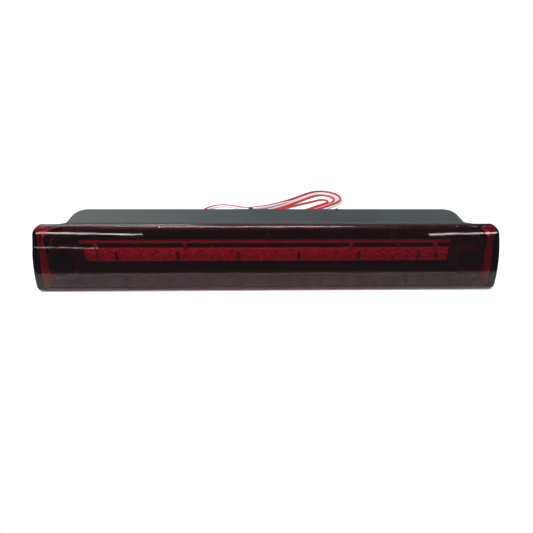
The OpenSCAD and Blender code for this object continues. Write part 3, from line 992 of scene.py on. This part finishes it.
RESISTOR_LEG_R = 0.28 * MM
RESISTOR_SHIFT = -0.15 * MM
# Distance between the places where the two leads meet the board
PAD_GAP = 5 * MM


def make_carrier():
    """A plate behind the board with a window, a rail above it, clips and three legs."""
    mesh = bmesh.new()
    lap = 1 * MM
    front, back = board_high.y, board_high.y + PLATE_T
    low, high = board_low.z, board_high.z - PLATE_DROP
    rail_low = carrier_high.z - RAIL_H
    rail_end = (carrier_high.x, board_low.y + RAIL_D, carrier_high.z)
    slab(mesh, (carrier_low.x, board_low.y, rail_low), rail_end, BOARD_SOFT)
    for x0, x1 in ((board_low.x, WINDOW_X[0]), (WINDOW_X[1], board_high.x)):
        slab(mesh, (x0, front, low), (x1, back, high), BOARD_SOFT)
    edge = (high - low - WINDOW_H) / 2
    for z0, z1 in ((low, low + edge), (high - edge, high)):
        slab(mesh, (WINDOW_X[0] - 0.5 * MM, front, z0), (WINDOW_X[1] + 0.5 * MM, back, z1), BOARD_SOFT)
    for x in CLIP_X:
        x0, x1 = x * MM - CLIP_W / 2, x * MM + CLIP_W / 2
        hook_y, hook_z = board_low.y - HOOK_T, board_high.z
        slab(mesh, (x0, front, high - lap), (x1, back, rail_low + lap), BOARD_SOFT)
        slab(mesh, (x0, hook_y, hook_z), (x1, back, rail_low + lap), BOARD_SOFT)
        slab(mesh, (x0, hook_y, hook_z - lap), (x1, board_low.y, hook_z + lap), BOARD_SOFT)
    leg = [(LEG_R + 0.8 * MM, back - 0.2 * MM), (LEG_R + 0.2 * MM, back + 0.4 * MM),
           (LEG_R, back + 1.5 * MM), (LEG_WAIST, back + 8 * MM), (LEG_WAIST, FLOOR_Y)]
    for x in LEG_X:
        lathe_y(mesh, x * MM, BOARD_Z, leg, 32)
    mesh_piece("strip_carrier", mesh, CARRIER_WHITE, ("board_carrier",))


def make_board():
    mesh = bmesh.new()
    slab(mesh, board_low, board_high, 0.1 * MM)
    mesh_piece("board_plate", mesh, BOARD_WHITE, ("circuit_board",))


def led_x(n):
    return led_low.x + LED_FLANGE_R + n * LED_PITCH


def make_leds():
    """Clear LEDs: stepped flange with one flat side, straight body and domed front, over a bright cup."""
    bodies, cups = bmesh.new(), bmesh.new()
    base, front = board_low.y, led_low.y
    profile = [(LED_FLANGE_R, base - 0.03 * MM), (LED_FLANGE_R, base - LED_FLANGE_T + 0.3 * MM),
               (LED_FLANGE_R - 0.2 * MM, base - LED_FLANGE_T), (LED_R + 0.1 * MM, base - LED_FLANGE_T),
               (LED_R, base - LED_FLANGE_T - 0.2 * MM), (LED_R, front + LED_R)]
    for degrees in range(9, 90, 9):
        a = math.radians(degrees)
        profile.append((LED_R * math.cos(a), front + LED_R - LED_R * math.sin(a)))
    cup = steps_from(base, [(0.35, -0.4), (0.35, -1.4), (0.9, -2.0), (1.05, -2.6), (0.85, -2.6),
                            (0.4, -2.2)])
    flat = LED_R + 0.1 * MM
    for n in range(LED_COUNT):
        rings = [circle_y(led_x(n), BOARD_Z, r, y, 32) for r, y in profile]
        loft(bodies, [[(px, py, max(pz, BOARD_Z - flat)) for px, py, pz in ring] for ring in rings])
        lathe_y(cups, led_x(n), BOARD_Z, cup, 16)
    mesh_piece("led_bodies", bodies, LED_CLEAR, ("leds",))
    mesh_piece("led_cups", cups, SOLDER)


def make_resistors():
    """Small axial resistors standing between the LEDs, with legs bent back to the board."""
    bodies, legs = bmesh.new(), bmesh.new()
    y = board_low.y - RESISTOR_R
    # Radius and height of the body's rings, then how far back and how high the leg's points lie, in mm
    shape = [(0.3, -3.2), (0.78, -3.1), (0.9, -2.8), (0.9, -1.9), (0.72, -1.5), (0.72, 1.5),
             (0.9, 1.9), (0.9, 2.8), (0.78, 3.1), (0.3, 3.2)]
    leg = [(0, 3.0), (0, 3.3), (0, 3.55), (0.12, 3.74), (0.3, 3.8)]
    turns = [TAU * k / 20 for k in range(20)]
    for g in range(LED_COUNT // LED_GROUP):
        x = (led_x(g * LED_GROUP + 1) + led_x(g * LED_GROUP + 2)) / 2 + RESISTOR_SHIFT
        loft(bodies, [[(x + r * MM * math.cos(a), y + r * MM * math.sin(a), BOARD_Z + h * MM)
                       for a in turns] for r, h in shape])
        for end in (-1, 1):
            path = [(x, y + back * MM, BOARD_Z + end * h * MM) for back, h in leg]
            path.append((x, board_low.y - 0.01 * MM, BOARD_Z + end * leg[-1][1] * MM))
            rod(legs, path, RESISTOR_LEG_R)
    mesh_piece("resistor_bodies", bodies, CHIP_BLACK, ("resistors",))
    mesh_piece("resistor_legs", legs, COPPER)


def make_solder():
    mesh = bmesh.new()
    cone = steps_from(board_high.y, [(1.5, 0.01), (1.3, 0.2), (1.1, 0.5), (0.98, 0.9), (0.9, 1.2)])
    for x in (OUTLET_X - PAD_GAP / 2, OUTLET_X + PAD_GAP / 2):
        lathe_y(mesh, x, BOARD_Z, cone, 24)
    mesh_piece("solder_cones", mesh, SOLDER, ("solder_joints",))


def make_inner_leads():
    """From the board's back to the grommet, inside the tub."""
    y0, y1 = board_high.y / MM + 1.2, FLOOR_Y / MM - 1.6
    z0, z1 = BOARD_Z / MM, OUTLET_Z / MM
    leads = ((-1, "red", PVC_RED, "pvc_red"), (1, "white", PVC_WHITE, "pvc_white"))
    for side, name, material, slot in leads:
        x0, x1 = OUTLET_X / MM + side * PAD_GAP / MM / 2, OUTLET_X / MM + side * 1.15
        line = catmull([(x0, y0, z0), (x0, y0 + 5, z0 - 0.5), ((x0 + x1) / 2, (y0 + y1) / 2, 16),
                        (x1, y1 - 5, z1 + 0.5), (x1, y1, z1)], 6)
        curve_piece(f"inner_{name}", [line], LEAD_D / 2, material, (f"inner_{name}_lead",))


# ---- fixing ----

NECK_R = 2.25 * MM
THREAD_R = 2.5 * MM
THREAD_PITCH = 0.8 * MM
THREAD_D = 0.4 * MM
HEAD_AF = 8 * MM
HEAD_T = 3.6 * MM
WASHER_BORE_R = 2.6 * MM
nut_low, nut_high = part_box("stud_nuts")
washer_low, washer_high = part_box("flat_washers")
spring_low, spring_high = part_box("spring_washers")
STUD_END_Y = stud_high.y


def threaded_ring(x, y, fade):
    """One ring of a screw thread: the radius follows a ridge that climbs with the angle."""
    def radius(a):
        ridge = (y / THREAD_PITCH - a / TAU) % 1
        return THREAD_R - fade - THREAD_D * abs(2 * ridge - 1) ** 1.3
    return shaped_ring(x, STUD_Z, y, 24, radius)


def make_studs():
    mesh = bmesh.new()
    for x in (-STUD_X, STUD_X):
        top, base = TOWER_FLOOR_Y - HEAD_T, TOWER_FLOOR_Y
        flats, corner = HEAD_AF - 0.02 * MM, HEAD_AF / 2 / math.cos(math.pi / 6)
        head = [(top, corner * 0.62), (top, corner * 0.84), (top + 0.45 * MM, corner),
                (base - 0.15 * MM, corner), (base - 0.01 * MM, corner * 0.96)]
        loft(mesh, [shaped_ring(x, STUD_Z, y, 48, hexagon(flats, r)) for y, r in head])
        neck = (base - 0.5 * MM, nut_high.y - 0.1 * MM)
        rings = [circle_y(x, STUD_Z, NECK_R, y, 24) for y in neck]
        start, end = nut_high.y + 0.02 * MM, STUD_END_Y - 0.1 * MM
        steps = math.ceil((end - start) / (THREAD_PITCH / 8))
        for i in range(steps + 1):
            y = start + (end - start) * i / steps
            rings.append(threaded_ring(x, y, max(0, y - (STUD_END_Y - 0.8 * MM))))
        rings.append(circle_y(x, STUD_Z, 1.3 * MM, STUD_END_Y, 24))
        loft(mesh, rings)
    mesh_piece("stud_bolts", mesh, ZINC, ("mounting_studs",))


def make_nuts():
    mesh = bmesh.new()
    corner = HEAD_AF / 2 / math.cos(math.pi / 6)
    y0, y1 = nut_low.y, nut_high.y
    for x in (-STUD_X, STUD_X):
        bore = NECK_R + 0.05 * MM
        profile = [(y0 + 0.35 * MM, lambda a: bore), (y0, lambda a: bore + 0.35 * MM),
                   (y0, hexagon(HEAD_AF, corner * 0.87)), (y0 + 0.4 * MM, hexagon(HEAD_AF, corner)),
                   (y1 - 0.4 * MM, hexagon(HEAD_AF, corner)), (y1, hexagon(HEAD_AF, corner * 0.87)),
                   (y1, lambda a: bore + 0.35 * MM), (y1 - 0.35 * MM, lambda a: bore)]
        loft(mesh, [shaped_ring(x, STUD_Z, y, 48, r) for y, r in profile], closed=True)
    mesh_piece("hex_nuts", mesh, ZINC, ("stud_nuts",))


def make_washers():
    mesh = bmesh.new()
    outer = (washer_high.z - washer_low.z) / 2
    profile = cut_corners(WASHER_BORE_R, outer, washer_low.y, washer_high.y, EDGE_CUT)
    for x in (-STUD_X, STUD_X):
        loft(mesh, [circle_y(x, STUD_Z, r, y, 48) for r, y in profile], closed=True)
    mesh_piece("plain_washers", mesh, ZINC, ("flat_washers",))


def make_spring_washers():
    """A split ring of square wire that climbs a little from one end to the other."""
    mesh = bmesh.new()
    outer, inner = (spring_high.x - spring_low.x - 2 * STUD_X) / 2, WASHER_BORE_R
    thick, rise, gap, start = 1.1 * MM, 0.18 * MM, 0.16, math.radians(90 - 12)
    for x in (-STUD_X, STUD_X):
        rings = []
        for i in range(49):
            a = start + gap / 2 + (TAU - gap) * i / 48
            y = spring_low.y + 0.01 * MM + rise * i / 48
            ring = [(inner, 0.1), (inner + 0.1 * MM, 0), (outer - 0.1 * MM, 0), (outer, 0.1), (outer, 0.9),
                    (outer - 0.1 * MM, 1), (inner + 0.1 * MM, 1), (inner, 0.9)]
            rings.append([(x + r * math.cos(a), y + thick * t, STUD_Z + r * math.sin(a)) for r, t in ring])
        loft(mesh, rings)
    mesh_piece("split_washers", mesh, SPRING_STEEL, ("spring_washers",))


def make_screws():
    """Pan heads with a cross recess, and a plain shank in the carrier's legs."""
    mesh = bmesh.new()
    shank_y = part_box("carrier_screws")[0].y
    dome = steps_from(BACK_Y, [(2.88, 0.03), (2.9, 0.5), (2.75, 1.1), (2.35, 1.6), (1.9, 1.88)])
    shank = [(0.6 * MM, shank_y), (1.42 * MM, shank_y + 1.4 * MM), (1.42 * MM, BACK_Y + 0.4 * MM)]
    for x in LEG_X:
        at = x * MM
        rings = [circle_y(at, BOARD_Z, r, y, 64) for r, y in dome]
        rings += [shaped_ring(at, BOARD_Z, BACK_Y + 1.95 * MM, 64, cross_shape(1.5 * MM, 0.36 * MM)),
                  shaped_ring(at, BOARD_Z, BACK_Y + 0.9 * MM, 64, cross_shape(1.15 * MM, 0.26 * MM))]
        loft(mesh, rings)
        lathe_y(mesh, at, BOARD_Z, shank, 24)
    mesh_piece("cross_screws", mesh, ZINC, ("carrier_screws",))


# ---- outlet and breather ----

# Their profiles are lists of radius and depth, in millimetres
GROMMET_RIBS = 5
BREATHER_NOTCHES = 8
NOTCH_D = 0.35
BACK_MM = BACK_Y / MM


def make_grommet():
    """A rubber grommet: collar inside, waist in the hole, flange outside and a ribbed nose."""
    mesh = bmesh.new()
    inside, end = (corner.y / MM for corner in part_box("wire_grommet"))
    start = BACK_MM + 1.6
    profile = [(2.9, inside), (5.3, inside), (5.5, inside + 0.25), (5.5, FLOOR_Y / MM - 0.1),
               (4.45, FLOOR_Y / MM), (4.45, BACK_MM), (6.2, BACK_MM + 0.02), (6.5, BACK_MM + 0.3),
               (6.5, BACK_MM + 1.2), (6.1, start)]
    for i in range(41):
        t = i / 40
        groove = 0.38 * max(0, math.sin(TAU * GROMMET_RIBS * t)) if 0.08 < t < 0.92 else 0
        profile.append((4.45 - 1.85 * t - groove, start + (end - 0.25 - start) * t))
    profile += [(2.4, end), (0.6, end)]
    lathe_y(mesh, OUTLET_X, OUTLET_Z, [(r * MM, y * MM) for r, y in profile], 40)
    mesh_piece("grommet", mesh, RUBBER, ("wire_grommet",))


def notched(radius, depth):
    """Radius of the breather's cap at an angle, with notches of that depth round it."""
    return lambda a: (radius - (depth if math.cos(BREATHER_NOTCHES * a) > 0.6 else 0)) * MM


def make_breather():
    """A plug with a cap, which has notches round its edge and a shallow dish."""
    mesh = bmesh.new()
    inside, end = (corner.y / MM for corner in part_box("breather_plug"))
    cap = [(1.95, inside), (1.95, BACK_MM), (3.7, BACK_MM + 0.02), (4.0, BACK_MM + 0.25),
           (4.0, BACK_MM + 1.1), (3.7, BACK_MM + 1.6), (3.1, end), (2.5, end), (2.3, end - 0.5),
           (1.0, end - 0.5), (0.85, end - 1.2)]
    rings = []
    for r, y in cap:
        depth = NOTCH_D if BACK_MM + 0.2 < y < BACK_MM + 1.7 else 0
        rings.append(shaped_ring(BREATHER_X, OUTLET_Z, y * MM, 64, notched(r, depth)))
    loft(mesh, rings)
    mesh_piece("breather_cap", mesh, NYLON, ("breather_plug",))


for make in (make_foam_ring, make_sealant, make_carrier, make_board, make_leds, make_resistors,
             make_solder, make_inner_leads, make_studs, make_nuts, make_washers, make_spring_washers,
             make_screws, make_grommet, make_breather):
    make()


# ---- CAD nodes that stay, with their finish ----

for name, material in {"diode": CHIP_BLACK, "stud_o_rings": RUBBER}.items():
    nodes[name].data.materials.clear()
    nodes[name].data.materials.append(material)
